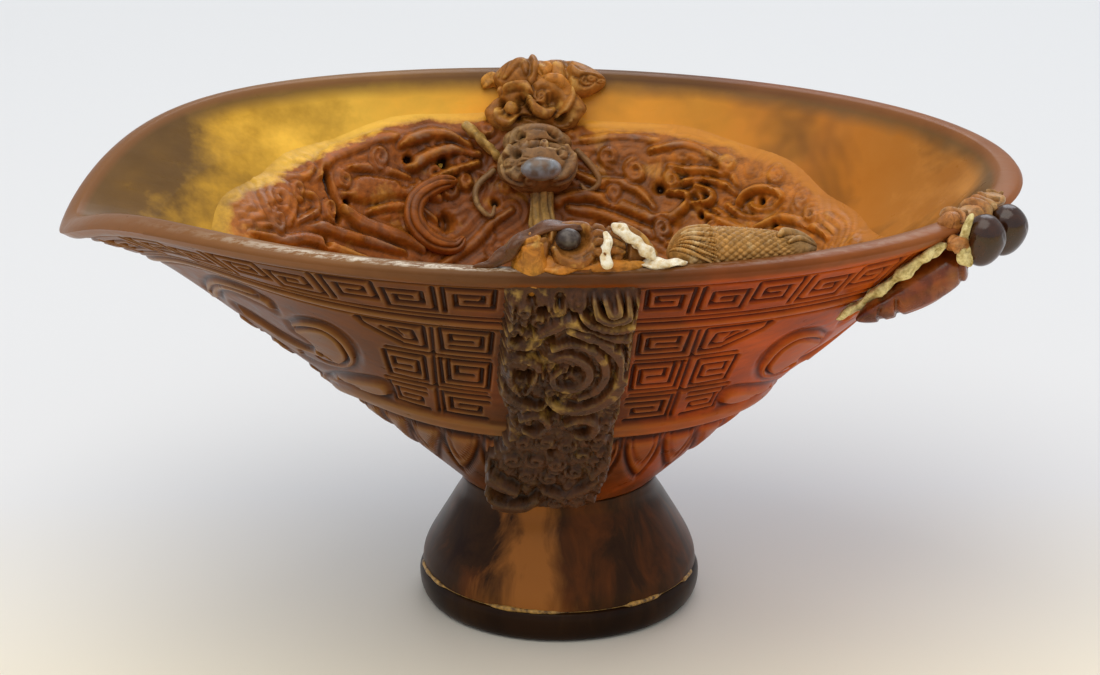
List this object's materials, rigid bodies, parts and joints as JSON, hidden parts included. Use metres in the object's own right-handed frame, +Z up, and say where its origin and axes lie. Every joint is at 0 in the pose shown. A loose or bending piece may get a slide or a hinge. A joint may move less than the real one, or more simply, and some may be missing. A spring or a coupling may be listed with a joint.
{
  "type": "libation cup",
  "caption": "Boat-shaped carved horn libation cup with a spout, relief-carved sides and lining, a lobed handle and a flared round foot.",
  "frame": {"origin": "centre of the flat underside of the foot", "axes": "+Z up, -X towards the spout and +X towards the rounded end, -Y towards the front flange that faces the viewer"},
  "size_m": [0.169, 0.1106, 0.0895],
  "materials": {
    "bowl_horn": "polished translucent horn, golden inside and brown carved outside",
    "bed_horn": "carved reddish horn with dark crevices",
    "foot_horn": "polished dark horn with an amber translucent patch",
    "base_horn": "dark polished horn",
    "flange_horn": "carved dark horn with golden wear",
    "crest_horn": "carved horn, satin",
    "handle_horn": "polished red-brown horn",
    "knob_horn": "highly polished dark horn",
    "yellow_horn": "pale translucent horn",
    "slate_bead": "polished blue-grey bead",
    "cream_adhesive": "dried cream adhesive",
    "gold_adhesive": "dried golden adhesive"
  },
  "bodies": {
    "root": {"bowl": "bowl_horn", "cloud_bed": "bed_horn", "neck_dowel": "base_horn", "foot": "foot_horn", "foot_base": "base_horn", "foot_seam_bead": "gold_adhesive", "front_flange": "flange_horn", "back_flange": "flange_horn", "front_crest": "crest_horn", "front_crest_bead": "slate_bead", "front_crest_filler": "cream_adhesive", "rim_dragon_body": "crest_horn", "back_crest": "crest_horn", "centre_head": "crest_horn", "centre_pearl": "slate_bead", "centre_pillar": "yellow_horn", "whisker_left": "crest_horn", "whisker_right": "crest_horn", "horn_rod": "yellow_horn", "cloud_curl": "bed_horn", "handle": "handle_horn", "handle_knob_near": "knob_horn", "handle_knob_far": "knob_horn", "handle_collar": "handle_horn", "handle_filler": "cream_adhesive"}
  },
  "joints": []
}
